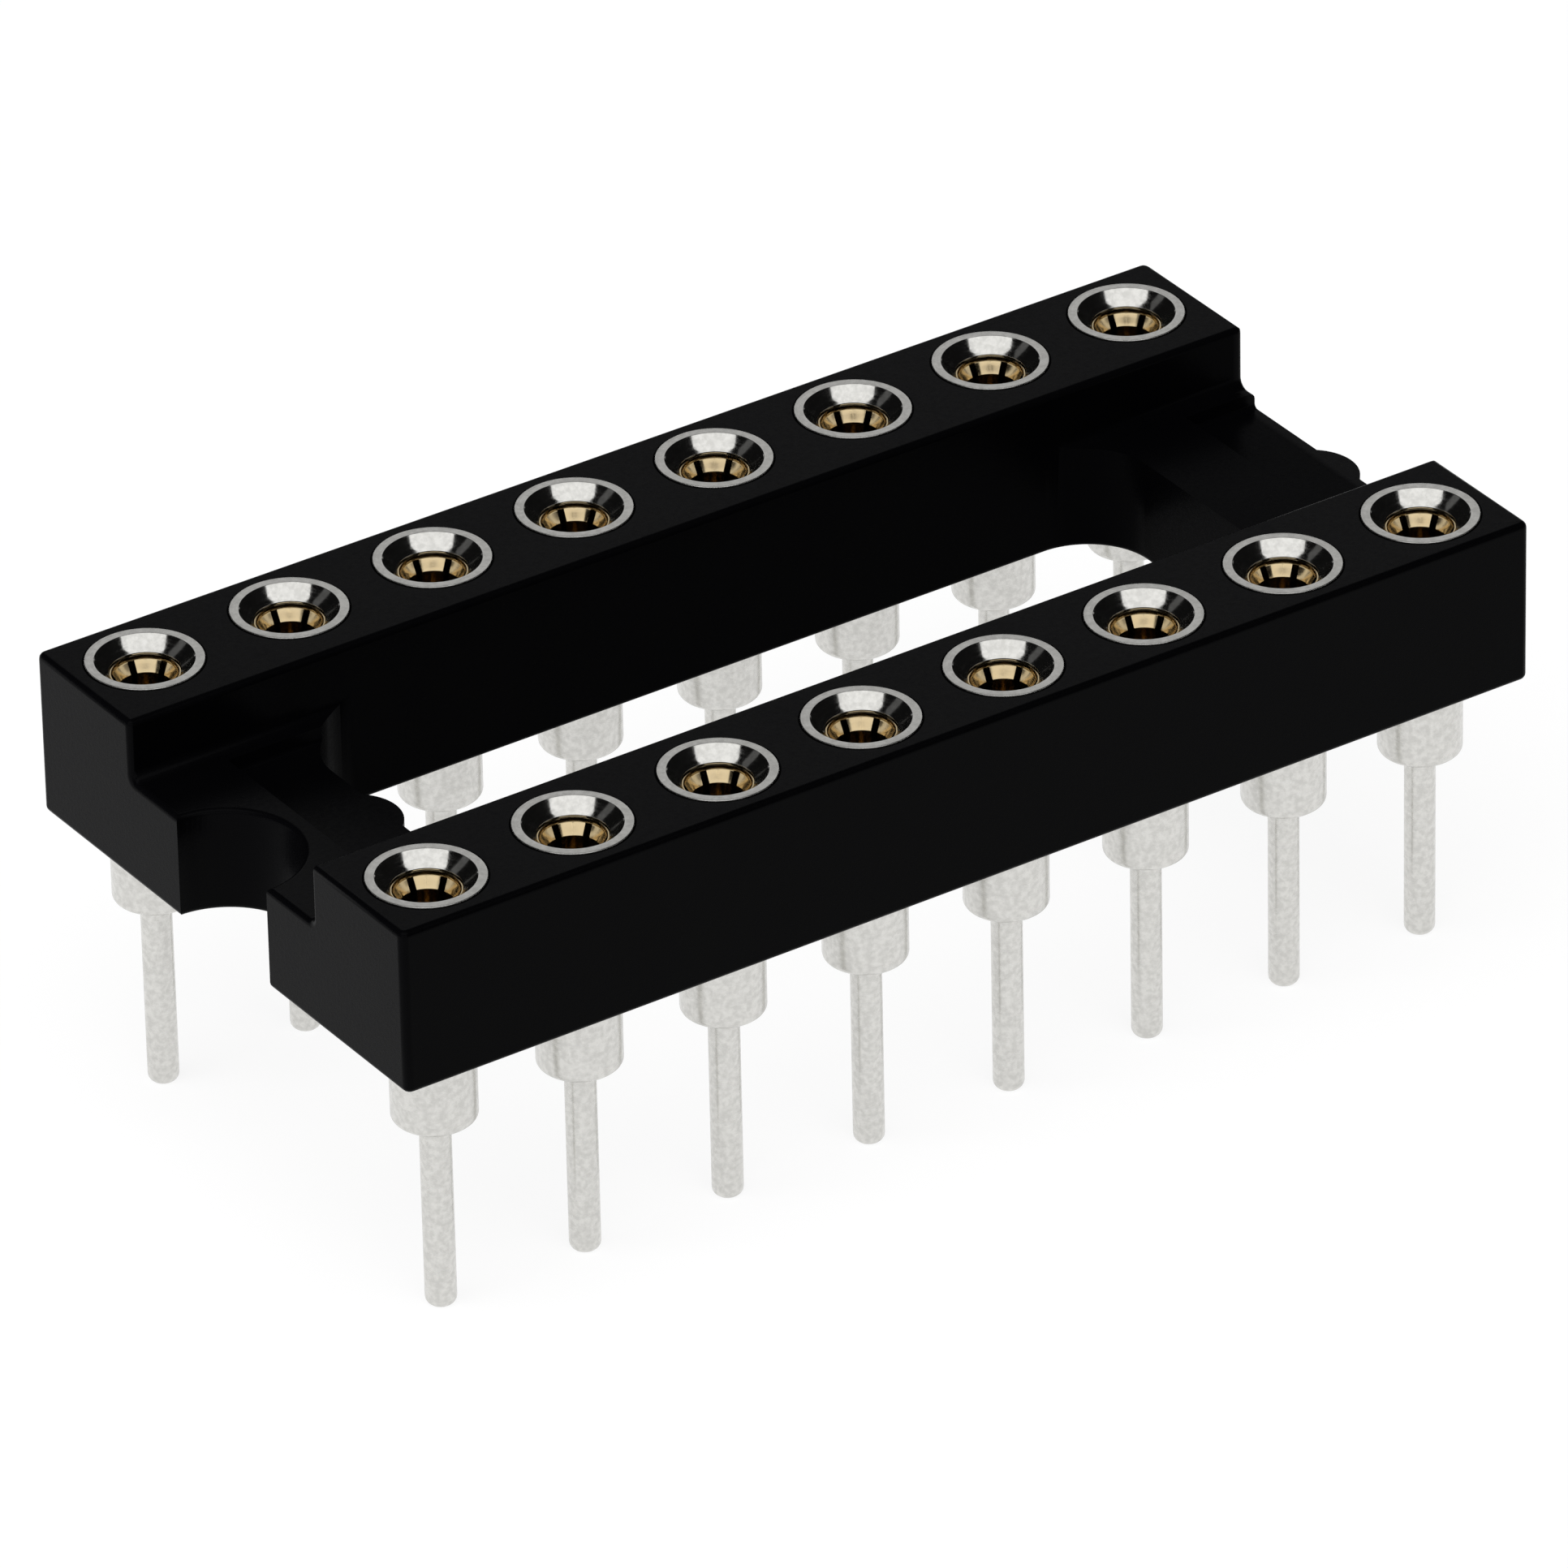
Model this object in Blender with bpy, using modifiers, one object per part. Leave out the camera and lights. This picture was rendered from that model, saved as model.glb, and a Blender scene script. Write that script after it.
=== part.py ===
"""Dual in-line socket with turned contacts, 16 ways in two rows.

A black moulded insulator carries sixteen turned sleeves, each with a flared
mouth, a barrel, a standoff collar and a solder tail. A six-finger clip is
pressed into every sleeve and grips the lead of the device plugged in above.

Frame: metres, +Z up. X runs along the rows, with the index notch at -X.
Z is 0 at the tips of the tails, and X = Y = 0 is the middle of the contact grid.
"""
import math

import bmesh
import bpy

MM = 0.001

# Contact grid
PITCH = 2.54 * MM
ROW_SPACING = 7.62 * MM
WAYS_PER_ROW = 8

# Turned sleeve, from the tail upwards
TAIL_LENGTH = 3.23 * MM
TAIL_DIAMETER = 0.48 * MM
TAIL_TIP_ROUND = 0.14 * MM
COLLAR_STANDOFF = 1.35 * MM
BARREL_DIAMETER = 1.30 * MM
COLLAR_CHAMFER = 0.10 * MM
HEAD_DIAMETER = 1.80 * MM
HEAD_HEIGHT = 0.60 * MM
HEAD_EDGE_CHAMFER = 0.03 * MM
MOUTH_DIAMETER = 1.55 * MM
BORE_DIAMETER = 1.08 * MM
FUNNEL_DEPTH = 0.25 * MM
BORE_DEPTH = 2.60 * MM
DRILL_POINT = 0.20 * MM

# Contact clip
CLIP_LENGTH = 1.85 * MM
CLIP_WALL = 0.07 * MM
CLIP_LIP_DIAMETER = 0.98 * MM
CLIP_COLLAR_HEIGHT = 0.10 * MM
CLIP_THROAT_DIAMETER = 0.70 * MM
CLIP_THROAT_DEPTH = 0.26 * MM
CLIP_GRIP_DIAMETER = 0.40 * MM
FINGERS = 6
FINGER_SLOT = 0.10 * MM
SLOT_START = 0.05 * MM
CLIP_ANGLE = math.radians(26.4)

# Insulator: the three walls are the material left beside a sleeve's head
OUTER_WALL = 0.26 * MM
INNER_WALL = 0.44 * MM
END_WALL = 0.28 * MM
RAIL_HEIGHT = 2.73 * MM
LEDGE_DROP = 1.01 * MM
CHANNEL_FOOT_ROUND = 0.18 * MM
NOTCH_BAR_WIDTH = 2.80 * MM
PLAIN_BAR_WIDTH = 2.62 * MM
WINDOW_CORNER_ROUND = 1.10 * MM
NOTCH_RADIUS = 1.22 * MM
BOSS_RADIUS = 0.75 * MM
BOSS_REACH = 0.24 * MM
PAD_LENGTH = 1.30 * MM
PAD_DEPTH = 0.26 * MM
PAD_MARGIN = 0.30 * MM
PAD_ROUND = 0.08 * MM
MOULDED_EDGE = 0.05 * MM
CORE_OFFSET = -0.08 * MM

# Fits
RIM_PROUD = 0.02 * MM
PRESS_CLEARANCE = 0.01 * MM
SEAT_CLEARANCE = 0.01 * MM

# Facets: a clip has two flats to each finger
TURNED_STEPS = 16
CLIP_STEPS = 2 * FINGERS
ARC_STEPS = 6

SHOULDER_Z = TAIL_LENGTH
UNDERSIDE_Z = SHOULDER_Z + COLLAR_STANDOFF
TOP_Z = UNDERSIDE_Z + RAIL_HEIGHT
RIM_Z = TOP_Z + RIM_PROUD
HEAD_SEAT_Z = RIM_Z - HEAD_HEIGHT
LEDGE_Z = TOP_Z - LEDGE_DROP
PAD_Z = LEDGE_Z - PAD_DEPTH
HALF_LENGTH = ((WAYS_PER_ROW - 1) * PITCH + HEAD_DIAMETER) / 2 + END_WALL
HALF_SPAN = (ROW_SPACING + HEAD_DIAMETER) / 2 + OUTER_WALL
HALF_CHANNEL = (ROW_SPACING - HEAD_DIAMETER) / 2 - INNER_WALL
WINDOW_LEFT = -HALF_LENGTH + NOTCH_BAR_WIDTH
WINDOW_RIGHT = HALF_LENGTH - PLAIN_BAR_WIDTH
CUT_OVERRUN = 0.5 * MM


def clear_scene():
    """Remove whatever the start-up file brought."""
    for obj in list(bpy.data.objects):
        bpy.data.objects.remove(obj, do_unlink=True)


def make_collection(name):
    collection = bpy.data.collections.new(name)
    bpy.context.scene.collection.children.link(collection)
    return collection


def make_material(name, colour, roughness, metallic):
    material = bpy.data.materials.new(name)
    material.use_nodes = True
    shader = material.node_tree.nodes["Principled BSDF"]
    shader.inputs["Base Color"].default_value = (*colour, 1.0)
    shader.inputs["Roughness"].default_value = roughness
    shader.inputs["Metallic"].default_value = metallic
    material.diffuse_color = (*colour, 1.0)
    return material


def link_object(name, data, collection):
    obj = bpy.data.objects.new(name, data)
    collection.objects.link(obj)
    return obj


def mark_cutter(obj):
    obj.hide_render = True
    obj.display_type = "WIRE"
    return obj


def arc(centre, radius, start, end, steps=ARC_STEPS):
    """Points of an arc about centre, from angle start to angle end in degrees, both ends included."""
    angles = [math.radians(start + (end - start) * i / steps) for i in range(steps + 1)]
    return [(centre[0] + radius * math.cos(a), centre[1] + radius * math.sin(a)) for a in angles]


def boss_arc(edge_x, steps=ARC_STEPS):
    """The shallow boss that stands out from a crossbar's edge at edge_x, from its lower to its upper side."""
    centre = (edge_x + BOSS_REACH - BOSS_RADIUS, CORE_OFFSET)
    half_angle = math.degrees(math.acos(1 - BOSS_REACH / BOSS_RADIUS))
    return arc(centre, BOSS_RADIUS, -half_angle, half_angle, steps)


def profile_mesh(name, points, closed):
    """A chain of edges in the XZ plane that a Screw modifier turns about Z."""
    mesh = bpy.data.meshes.new(name)
    edges = [(i, i + 1) for i in range(len(points) - 1)]
    if closed:
        edges.append((len(points) - 1, 0))
    mesh.from_pydata([(r, 0.0, z) for r, z in points], edges, [])
    return mesh


def add_turning(obj, steps=TURNED_STEPS):
    screw = obj.modifiers.new("turned", "SCREW")
    screw.axis = "Z"
    screw.steps = steps
    screw.render_steps = steps
    screw.use_merge_vertices = True
    screw.merge_threshold = 0.000001
    screw.use_smooth_shade = True
    return screw


def add_difference(obj, cutter, name):
    cut = obj.modifiers.new(name, "BOOLEAN")
    cut.operation = "DIFFERENCE"
    cut.solver = "EXACT"
    cut.object = cutter
    return cut


def extrude_outlines(name, outlines, low_z, high_z, collection):
    """A flat plate between two heights. The first outline is its rim, any others are windows."""
    curve = bpy.data.curves.new(name + "_outline", "CURVE")
    curve.dimensions = "2D"
    curve.fill_mode = "BOTH"
    curve.extrude = (high_z - low_z) / 2
    for outline in outlines:
        spline = curve.splines.new("POLY")
        spline.points.add(len(outline) - 1)
        for point, (x, y) in zip(spline.points, outline):
            point.co = (x, y, 0.0, 1.0)
        spline.use_cyclic_u = True
    guide = bpy.data.objects.new(name + "_outline", curve)
    bpy.context.scene.collection.objects.link(guide)
    bpy.context.view_layer.update()
    evaluated = guide.evaluated_get(bpy.context.evaluated_depsgraph_get())
    mesh = bpy.data.meshes.new_from_object(evaluated)
    mesh.name = name
    bpy.data.objects.remove(guide, do_unlink=True)
    plate = bmesh.new()
    plate.from_mesh(mesh)
    bmesh.ops.remove_doubles(plate, verts=plate.verts, dist=0.0000005)
    bmesh.ops.translate(plate, verts=plate.verts, vec=(0.0, 0.0, (low_z + high_z) / 2))
    bmesh.ops.dissolve_limit(plate, angle_limit=math.radians(1), verts=plate.verts, edges=plate.edges)
    bmesh.ops.recalc_face_normals(plate, faces=plate.faces)
    plate.to_mesh(mesh)
    plate.free()
    return link_object(name, mesh, collection)


def make_block(name, low, high, collection, foot_round=0.0, steps=3):
    """A box between two corners. Its lower long edges can be rounded, which leaves a fillet where it cuts."""
    block = bmesh.new()
    bmesh.ops.create_cube(block, size=1.0)
    for vert in block.verts:
        vert.co = [high[i] if vert.co[i] > 0 else low[i] for i in range(3)]
    if foot_round > 0:
        feet = [
            e for e in block.edges
            if all(v.co.z == e.verts[0].co.z and v.co.z < (low[2] + high[2]) / 2 for v in e.verts)
            and e.verts[0].co.y == e.verts[1].co.y
        ]
        bmesh.ops.bevel(
            block, geom=feet, offset=foot_round, offset_type="OFFSET",
            segments=steps, profile=0.5, affect="EDGES", clamp_overlap=True,
        )
    mesh = bpy.data.meshes.new(name)
    block.to_mesh(mesh)
    block.free()
    return link_object(name, mesh, collection)


def contact_places():
    """Number and place of each contact: 1 beside the notch, along the front row and back along the rear."""
    first = -(WAYS_PER_ROW - 1) * PITCH / 2
    front = [(first + i * PITCH, -ROW_SPACING / 2) for i in range(WAYS_PER_ROW)]
    rear = [(x, -y) for x, y in reversed(front)]
    return list(enumerate(front + rear, start=1))


def body_outline():
    """Plan of the insulator: square-ended rails, the index notch at -X and the boss at +X."""
    return (
        [(-HALF_LENGTH, -HALF_SPAN), (HALF_LENGTH, -HALF_SPAN)]
        + boss_arc(HALF_LENGTH)
        + [(HALF_LENGTH, HALF_SPAN), (-HALF_LENGTH, HALF_SPAN)]
        + arc((-HALF_LENGTH, CORE_OFFSET), NOTCH_RADIUS, 90, -90, 2 * ARC_STEPS)
    )


def window_outline():
    """Plan of the opening between the crossbars, with round corners and the boss of the notched bar."""
    r = WINDOW_CORNER_ROUND
    left, right = WINDOW_LEFT + r, WINDOW_RIGHT - r
    front, rear = CORE_OFFSET - HALF_CHANNEL + r, CORE_OFFSET + HALF_CHANNEL - r
    return (
        arc((left, front), r, 180, 270)
        + arc((right, front), r, 270, 360)
        + arc((right, rear), r, 0, 90)
        + arc((left, rear), r, 90, 180)
        + list(reversed(boss_arc(WINDOW_LEFT)))
    )


def make_insulator(parts, cutters, material):
    """The one-piece moulding: a block with its channel, window, marking pads and stepped bores cut out."""
    insulator = extrude_outlines("insulator", [body_outline()], UNDERSIDE_Z, TOP_Z, parts)
    insulator.data.materials.append(material)
    edge = insulator.modifiers.new("moulded_edge", "BEVEL")
    edge.width = MOULDED_EDGE
    edge.segments = 1
    edge.limit_method = "ANGLE"
    edge.angle_limit = math.radians(60)
    edge.use_clamp_overlap = True

    channel = make_block(
        "channel_cutter",
        (-HALF_LENGTH - CUT_OVERRUN, CORE_OFFSET - HALF_CHANNEL, LEDGE_Z),
        (HALF_LENGTH + CUT_OVERRUN, CORE_OFFSET + HALF_CHANNEL, TOP_Z + CUT_OVERRUN),
        cutters, foot_round=CHANNEL_FOOT_ROUND,
    )
    window = extrude_outlines(
        "window_cutter", [window_outline()],
        UNDERSIDE_Z - CUT_OVERRUN, LEDGE_Z + CHANNEL_FOOT_ROUND, cutters,
    )
    pad_half = HALF_CHANNEL - PAD_MARGIN
    pads = [
        make_block(
            name,
            (edge_x - PAD_LENGTH, CORE_OFFSET - pad_half, PAD_Z),
            (edge_x + BOSS_REACH + CUT_OVERRUN, CORE_OFFSET + pad_half, LEDGE_Z + CHANNEL_FOOT_ROUND),
            cutters, foot_round=PAD_ROUND, steps=2,
        )
        for name, edge_x in (("notch_bar_pad_cutter", WINDOW_LEFT), ("plain_bar_pad_cutter", HALF_LENGTH))
    ]
    for cutter in (channel, window, *pads):
        add_difference(insulator, mark_cutter(cutter), cutter.name.replace("_cutter", ""))

    head_radius = HEAD_DIAMETER / 2 + PRESS_CLEARANCE
    barrel_radius = BARREL_DIAMETER / 2 + PRESS_CLEARANCE
    counterbore_z = HEAD_SEAT_Z - SEAT_CLEARANCE
    bore = profile_mesh("bore_tool", [
        (0.0, TOP_Z + CUT_OVERRUN),
        (head_radius, TOP_Z + CUT_OVERRUN),
        (head_radius, counterbore_z),
        (barrel_radius, counterbore_z),
        (barrel_radius, UNDERSIDE_Z - CUT_OVERRUN),
        (0.0, UNDERSIDE_Z - CUT_OVERRUN),
    ], closed=False)
    for number, (x, y) in contact_places():
        cutter = link_object(f"bore_{number:02d}_cutter", bore, cutters)
        cutter.location = (x, y, 0.0)
        add_turning(cutter)
        add_difference(insulator, mark_cutter(cutter), f"bore_{number:02d}")
    return insulator


def sleeve_profile():
    """Half section of a sleeve: up the bore, over the flared mouth, down the outside to the tail's tip."""
    tail = TAIL_DIAMETER / 2
    barrel = BARREL_DIAMETER / 2
    head = HEAD_DIAMETER / 2
    bore = BORE_DIAMETER / 2
    bore_floor = RIM_Z - BORE_DEPTH
    tip = [
        (tail - TAIL_TIP_ROUND * (1 - math.cos(a)), TAIL_TIP_ROUND * (1 - math.sin(a)))
        for a in (0.0, math.radians(45), math.radians(90))
    ]
    return [
        (0.0, bore_floor - DRILL_POINT),
        (bore, bore_floor),
        (bore, RIM_Z - FUNNEL_DEPTH),
        (MOUTH_DIAMETER / 2, RIM_Z),
        (head - HEAD_EDGE_CHAMFER, RIM_Z),
        (head, RIM_Z - HEAD_EDGE_CHAMFER),
        (head, HEAD_SEAT_Z),
        (barrel, HEAD_SEAT_Z),
        (barrel, SHOULDER_Z + COLLAR_CHAMFER),
        (barrel - COLLAR_CHAMFER, SHOULDER_Z),
        (tail, SHOULDER_Z),
        *tip,
        (0.0, 0.0),
    ]


def clip_profile():
    """Closed half section of a clip: collar at the top, throat below it, then the tapering fingers."""
    top = RIM_Z - FUNNEL_DEPTH - SEAT_CLEARANCE
    outer = BORE_DIAMETER / 2 - PRESS_CLEARANCE
    lip = CLIP_LIP_DIAMETER / 2
    throat = CLIP_THROAT_DIAMETER / 2
    grip = CLIP_GRIP_DIAMETER / 2
    throat_z = top - CLIP_THROAT_DEPTH
    return [
        (outer, top),
        (outer, top - CLIP_COLLAR_HEIGHT),
        (throat + CLIP_WALL, throat_z - CLIP_WALL / 2),
        (grip + CLIP_WALL, top - CLIP_LENGTH),
        (grip, top - CLIP_LENGTH),
        (throat, throat_z),
        (lip, top),
    ]


def finger_star():
    """Outline of crossed bars, one arm to each slot: two corners at an arm's end, one where two arms meet."""
    half = FINGER_SLOT / 2
    reach = BORE_DIAMETER / 2
    inner = half / math.sin(math.pi / FINGERS)
    outline = []
    for k in range(FINGERS):
        turn = 2 * math.pi * k / FINGERS
        between = turn + math.pi / FINGERS
        for across in (-half, half):
            outline.append((
                reach * math.cos(turn) - across * math.sin(turn),
                reach * math.sin(turn) + across * math.cos(turn),
            ))
        outline.append((inner * math.cos(between), inner * math.sin(between)))
    return outline


def make_contacts(parts, cutters, sleeve_material, clip_material):
    sleeve_mesh = profile_mesh("sleeve_profile", sleeve_profile(), closed=False)
    sleeve_mesh.materials.append(sleeve_material)
    clip_mesh = profile_mesh("clip_profile", clip_profile(), closed=True)
    clip_mesh.materials.append(clip_material)
    top = RIM_Z - FUNNEL_DEPTH - SEAT_CLEARANCE
    slot_low = top - CLIP_LENGTH - CUT_OVERRUN
    slot_high = top - SLOT_START
    star = finger_star()
    for number, (x, y) in contact_places():
        sleeve = link_object(f"sleeve_{number:02d}", sleeve_mesh, parts)
        sleeve.location = (x, y, 0.0)
        add_turning(sleeve)

        clip = link_object(f"clip_{number:02d}", clip_mesh, parts)
        clip.location = (x, y, 0.0)
        clip.rotation_euler = (0.0, 0.0, CLIP_ANGLE)
        add_turning(clip, CLIP_STEPS)
        slots = extrude_outlines(
            f"finger_slots_{number:02d}_cutter", [star], slot_low, slot_high, cutters,
        )
        slots.location = clip.location
        slots.rotation_euler = clip.rotation_euler
        add_difference(clip, mark_cutter(slots), "finger_slots")


def main():
    clear_scene()
    parts = make_collection("dual_in_line_socket")
    cutters = make_collection("cutters")
    black_moulding = make_material("glass_filled_black_moulding", (0.012, 0.012, 0.013), 0.55, 0.0)
    tin_plate = make_material("tin_plated_turned_brass", (0.68, 0.67, 0.64), 0.38, 1.0)
    gold_plate = make_material("gold_plated_copper_alloy", (0.86, 0.62, 0.26), 0.22, 1.0)
    make_insulator(parts, cutters, black_moulding)
    make_contacts(parts, cutters, tin_plate, gold_plate)


main()
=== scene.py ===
# %% [markdown]
# # A dual in-line socket with turned contacts
# The object is a small part that is soldered to a circuit board and holds a chip above it. A black
# moulded frame carries sixteen turned metal sleeves, and each sleeve has a sprung gold clip inside.
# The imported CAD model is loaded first: it fixes every size and place that the finer pieces below keep.

# %% The frame, and the units of this file
import bpy
import math
import numpy as np
from mathutils import Matrix


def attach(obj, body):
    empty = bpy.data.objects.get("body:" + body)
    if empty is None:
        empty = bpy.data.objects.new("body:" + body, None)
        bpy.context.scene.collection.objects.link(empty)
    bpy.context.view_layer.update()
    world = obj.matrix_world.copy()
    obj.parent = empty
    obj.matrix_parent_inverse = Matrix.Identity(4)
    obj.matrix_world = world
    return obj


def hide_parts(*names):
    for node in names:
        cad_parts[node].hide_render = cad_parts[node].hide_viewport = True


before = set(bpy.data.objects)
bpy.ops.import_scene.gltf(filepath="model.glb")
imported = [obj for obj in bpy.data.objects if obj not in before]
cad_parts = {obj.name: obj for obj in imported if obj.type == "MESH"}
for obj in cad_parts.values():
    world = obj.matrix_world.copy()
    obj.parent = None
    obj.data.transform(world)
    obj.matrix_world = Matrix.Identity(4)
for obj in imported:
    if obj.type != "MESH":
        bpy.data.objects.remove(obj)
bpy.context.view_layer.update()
MM = 0.001

# %% [markdown]
# ## Sizes
# Every size is written once, in millimetres, as a designer would dimension the real part.
# The heights start at the tips of the solder tails, which is where the object stands.

# %% Sizes shared by the pieces, in millimetres
PITCH, ROW_SPACING, WAYS = 2.54, 7.62, 8
SHOULDER_Z, UNDERSIDE_Z, TOP_Z, RIM_Z = 3.23, 4.58, 7.31, 7.33
LEDGE_Z, PAD_Z = 6.30, 6.04
END_X, SIDE_Y, CHANNEL_HALF, CORE_Y = 10.07, 4.97, 2.47, -0.08
WINDOW_LEFT, WINDOW_RIGHT, WINDOW_ROUND = -7.27, 7.45, 1.10
NOTCH_R, BOSS_R, BOSS_REACH = 1.22, 0.75, 0.24
PAD_LENGTH, PAD_HALF = 1.30, 2.17
HEAD_R, HEAD_SEAT_Z, BARREL_R, BORE_R = 0.90, 6.73, 0.65, 0.54
CLIP_TOP_Z, CLIP_LENGTH = 7.07, 1.85
first_x = -(WAYS - 1) * PITCH / 2
row_x = first_x + PITCH * np.arange(WAYS)
contact_xy = np.concatenate([
    np.stack([row_x, np.full(WAYS, -ROW_SPACING / 2)], axis=1),
    np.stack([row_x[::-1], np.full(WAYS, ROW_SPACING / 2)], axis=1),
])
print("contacts:", len(contact_xy), "from", contact_xy[0], "to", contact_xy[-1])

# %% [markdown]
# ## One way to make every solid: a loft through closed loops
# A moulded block, a turned pin and a mould core are all stacks of closed loops with the same number of
# points. The loops are one numpy array, side faces join each loop to the next, and the two end loops
# become caps. This keeps every point's place known, which a row of modelling tools would not.

# %% Loft helper
def new_piece(name, mesh):
    """An object at the origin that holds mesh, linked to the scene."""
    piece = bpy.data.objects.new(name, mesh)
    bpy.context.scene.collection.objects.link(piece)
    return piece


def loft(name, loops):
    """A closed mesh through loops, an array of shape (loops, points, 3) in millimetres.

    Point j of loop k joins point j of loop k + 1. Each quad is (k, j), (k, j+1), (k+1, j+1), (k+1, j),
    and the first and last loops are single faces.
    """
    count, size = loops.shape[:2]
    j = np.arange(size)
    ring = np.stack([j, (j + 1) % size, (j + 1) % size + size, j + size], axis=1)
    quads = (ring[None] + size * np.arange(count - 1)[:, None, None]).reshape(-1, 4)
    caps = [j[::-1].tolist(), (j + size * (count - 1)).tolist()]
    mesh = bpy.data.meshes.new(name)
    mesh.from_pydata((loops.reshape(-1, 3) * MM).tolist(), [], quads.tolist() + caps)
    mesh.update()
    return mesh


print("pieces in the packed frame that the lofts below replace:", 1 + 2 * len(contact_xy))

# %% [markdown]
# ## Arcs, insets and heights
# Three small tools draw the loops. An arc gives round corners and notches, an inset gives the next loop
# of a rounded edge, and a last one lifts flat loops to their heights.

# %% Plan helpers
def arc(cx, cy, radius, start, end, steps):
    """Points (cx + r cos a, cy + r sin a), with a running from start to end in degrees."""
    a = np.radians(np.linspace(start, end, steps + 1))
    return np.stack([cx + radius * np.cos(a), cy + radius * np.sin(a)], axis=1)


def inset(loop, distance):
    """The closed loop (n, 2) moved inwards by distance, or outwards if it is negative.

    A corner moves along its mitre: m = d (n1 + n2) / (1 + n1.n2), from the inward normals of its two edges.
    """
    edge = np.roll(loop, -1, axis=0) - loop
    edge /= np.linalg.norm(edge, axis=1, keepdims=True)
    after = np.stack([-edge[:, 1], edge[:, 0]], axis=1)
    before = np.roll(after, 1, axis=0)
    mitre = (before + after) / (1 + (before * after).sum(axis=1, keepdims=True))
    return loop + distance * mitre


def at_heights(loops, heights):
    """Plan loops (k, n, 2) lifted to heights (k,), as loops of 3-D points."""
    z = np.broadcast_to(np.asarray(heights, float)[:, None, None], (len(loops), len(loops[0]), 1))
    return np.concatenate([np.stack(loops), z], axis=2)


unit_square = np.array([[0.0, 0.0], [1.0, 0.0], [1.0, 1.0], [0.0, 1.0]])
print("a unit square inset by 0.1:", inset(unit_square, 0.1).round(3).tolist())

# %% [markdown]
# ## The insulator's block
# The frame is injection moulded in one shot, so each outside edge has a tiny radius from the tool. Its
# plan is a rectangle with a half-round index notch at one end and a shallow boss at the other. The loops
# shrink by a quarter circle at the bottom and at the top, which rounds those edges for real. A Bevel
# modifier could do it too, but it would meet the sixteen bores, which have a crisp lip of their own.

# %% Block with rounded edges
EDGE = 0.10
CORNER_ROUND = 0.13
quarter = np.radians(np.linspace(0, 90, 5))


def boss(edge_x, steps=16):
    """The convex arc that stands BOSS_REACH proud of a crossbar's edge, with y rising along it."""
    half = math.degrees(math.acos(1 - BOSS_REACH / BOSS_R))
    return arc(edge_x + BOSS_REACH - BOSS_R, CORE_Y, BOSS_R, -half, half, steps)


def rounded_corner(x, y, start, radius=CORNER_ROUND):
    """A quarter circle in place of the outside corner (x, y). Its first normal points at start degrees.

    Its radius is a little more than EDGE, so that the smallest loop still has a corner with some length.
    """
    a = math.radians(start + 45)
    cx = x - radius * math.copysign(1, math.cos(a))
    cy = y - radius * math.copysign(1, math.sin(a))
    return arc(cx, cy, radius, start, start + 90, 4)


plan = np.concatenate([
    rounded_corner(-END_X, -SIDE_Y, 180),
    rounded_corner(END_X, -SIDE_Y, 270),
    boss(END_X),
    rounded_corner(END_X, SIDE_Y, 0),
    rounded_corner(-END_X, SIDE_Y, 90),
    arc(-END_X, CORE_Y, NOTCH_R, 90, -90, 48),
])
rise = EDGE * (1 - np.cos(quarter))
shrink = EDGE * (1 - np.sin(quarter))
block_loops = at_heights(
    [inset(plan, d) for d in shrink] + [inset(plan, d) for d in shrink[::-1]],
    np.concatenate([UNDERSIDE_Z + rise, TOP_Z - rise[::-1]]),
)
insulator = new_piece("insulator_moulding", loft("insulator_moulding", block_loops))
print("block loops:", block_loops.shape)

# %% [markdown]
# ## The core that leaves the channel
# A mould makes each hollow with a steel core. The first core leaves the long channel between the two
# rails, down to the ledges of the crossbars. It flares a little where it leaves the block, so the edge
# that it cuts comes out rounded, and its feet are round as well, because a mould has no sharp inside
# corners.

# %% Channel core
OVERRUN = 0.4
FOOT_ROUND = 0.18


def flare(distance, reach=EDGE):
    """How far a rounded edge opens at a distance d inside the face it meets: r - sqrt(r^2 - (r - d)^2)."""
    inside = np.clip(reach - np.asarray(distance, float), 0, reach)
    return reach - np.sqrt(reach**2 - inside**2)


def channel_section(x, opening):
    """Section of the channel at x: a flat floor, round feet, upright walls and a flared top."""
    half, floor_z = CHANNEL_HALF + opening, LEDGE_Z - opening
    foot = arc(half - FOOT_ROUND, floor_z + FOOT_ROUND, FOOT_ROUND, 270, 360, 8)
    lip_z = TOP_Z - EDGE + EDGE * np.sin(quarter)
    lip = np.stack([half + EDGE - EDGE * np.cos(quarter), lip_z], axis=1)
    right_half = np.concatenate([foot, lip, [[half + EDGE, TOP_Z + OVERRUN]]])
    left_half = right_half[::-1] * [-1, 1]
    section = np.concatenate([right_half, left_half])
    return np.concatenate([np.full((len(section), 1), x), section + [CORE_Y, 0]], axis=1)


stations = np.concatenate([
    [-END_X - OVERRUN], -END_X + EDGE * (1 - np.cos(quarter)),
    END_X - EDGE * (1 - np.cos(quarter[::-1])), [END_X + OVERRUN],
])
openings = flare(END_X - np.abs(stations))
channel_loops = np.stack([channel_section(x, d) for x, d in zip(stations, openings)])
print("channel loops:", channel_loops.shape)

# %% [markdown]
# ## The cores that leave the window and the pads
# Below the channel the frame is open in the middle, which lets air and washing fluid through. The window
# has round corners, and the notched crossbar has a small boss that reaches into it. Each crossbar also
# has a shallow rectangular recess in its top.

# %% Window core and pad cores
PAD_ROUND = 0.08
PAD_OVERRUN = 1.0

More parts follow.
